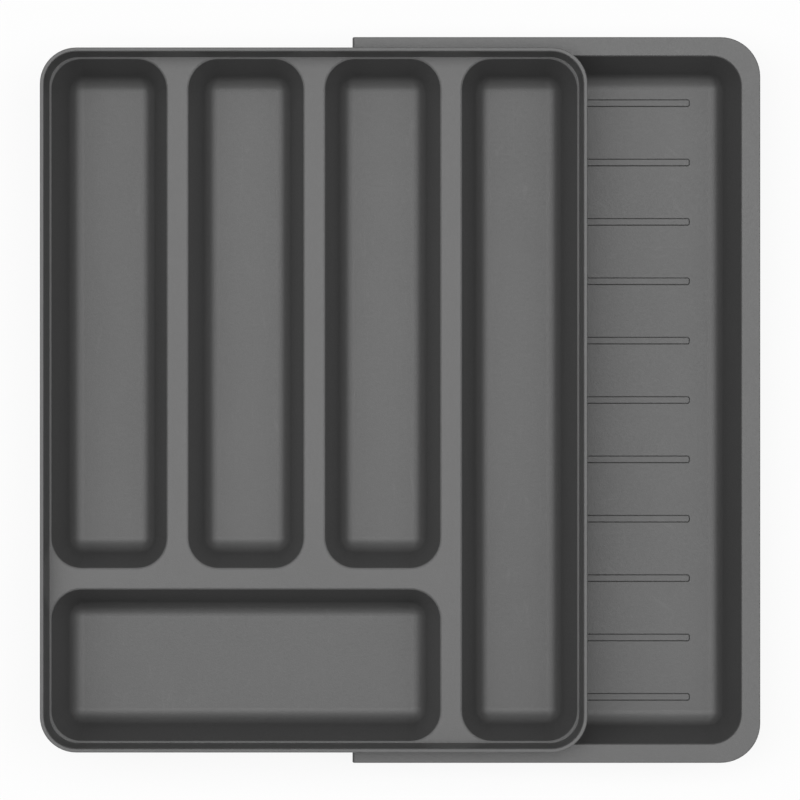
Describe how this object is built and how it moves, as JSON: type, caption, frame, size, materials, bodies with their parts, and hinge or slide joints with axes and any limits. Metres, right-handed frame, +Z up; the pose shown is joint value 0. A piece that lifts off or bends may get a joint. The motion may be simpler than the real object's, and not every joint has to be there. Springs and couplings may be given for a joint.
{
  "type": "cutlery tray",
  "caption": "Width-adjustable drawer tray for cutlery: a compartmented upper tray with a raised lip slides over a wide flanged lower tray.",
  "frame": {"origin": "on the drawer floor, under the middle of the whole tray as it stands partly pulled out", "axes": "+X to the right along the slide, +Y to the back of the drawer, +Z up"},
  "size_m": [0.361, 0.3652, 0.0535],
  "materials": {
    "tray_plastic": "fine matte moulded texture",
    "foot_rubber": "soft matte"
  },
  "bodies": {
    "main_tray": {"main_tray": "tray_plastic", "main_foot_back": "foot_rubber", "main_foot_front": "foot_rubber"},
    "extension_tray": {"extension_tray": "tray_plastic", "extension_foot_back_left": "foot_rubber", "extension_foot_back_right": "foot_rubber", "extension_foot_front_left": "foot_rubber", "extension_foot_front_right": "foot_rubber"}
  },
  "joints": [
    {"name": "extension_slide", "type": "slide", "parent": "main_tray", "child": "extension_tray", "axis": [1, 0, 0], "range_m": [-0.081, 0.08]}
  ]
}
